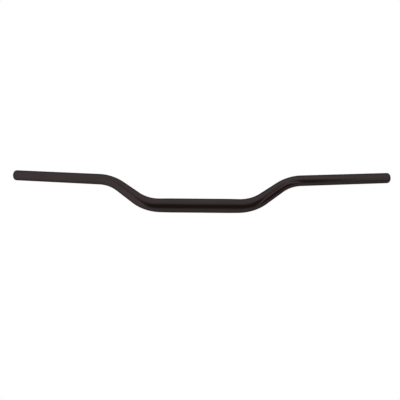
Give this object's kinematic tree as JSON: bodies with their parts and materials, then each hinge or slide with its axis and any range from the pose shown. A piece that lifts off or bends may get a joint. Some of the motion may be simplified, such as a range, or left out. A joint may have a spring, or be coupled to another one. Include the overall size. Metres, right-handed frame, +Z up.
{
  "type": "motorcycle handlebar",
  "caption": "Tapered aluminium motorcycle handlebar: thick straight clamping zone, arms rising up and back to slimmer swept grips, with a domed push-in plug in each end.",
  "frame": {"origin": "middle of the straight clamping zone, on the tube's centreline", "axes": "+X along the clamping zone to the rider's left hand, +Y back to the rider, +Z up; both grips are level"},
  "size_m": [0.8122, 0.1293, 0.0709],
  "materials": {
    "anodised_tube": "satin dark brown-black anodising",
    "moulded_plug": "fine moulded texture"
  },
  "bodies": {
    "bar": {"bar_tube": "anodised_tube"},
    "left_plug": {"left_end_plug": "moulded_plug"},
    "right_plug": {"right_end_plug": "moulded_plug"}
  },
  "joints": [
    {"name": "left_plug_pull", "type": "slide", "parent": "bar", "child": "left_plug", "axis": [0.9613, 0.2756, 0], "range_m": [0, 0.035]},
    {"name": "right_plug_pull", "type": "slide", "parent": "bar", "child": "right_plug", "axis": [-0.9613, 0.2756, 0], "range_m": [0, 0.035]}
  ]
}
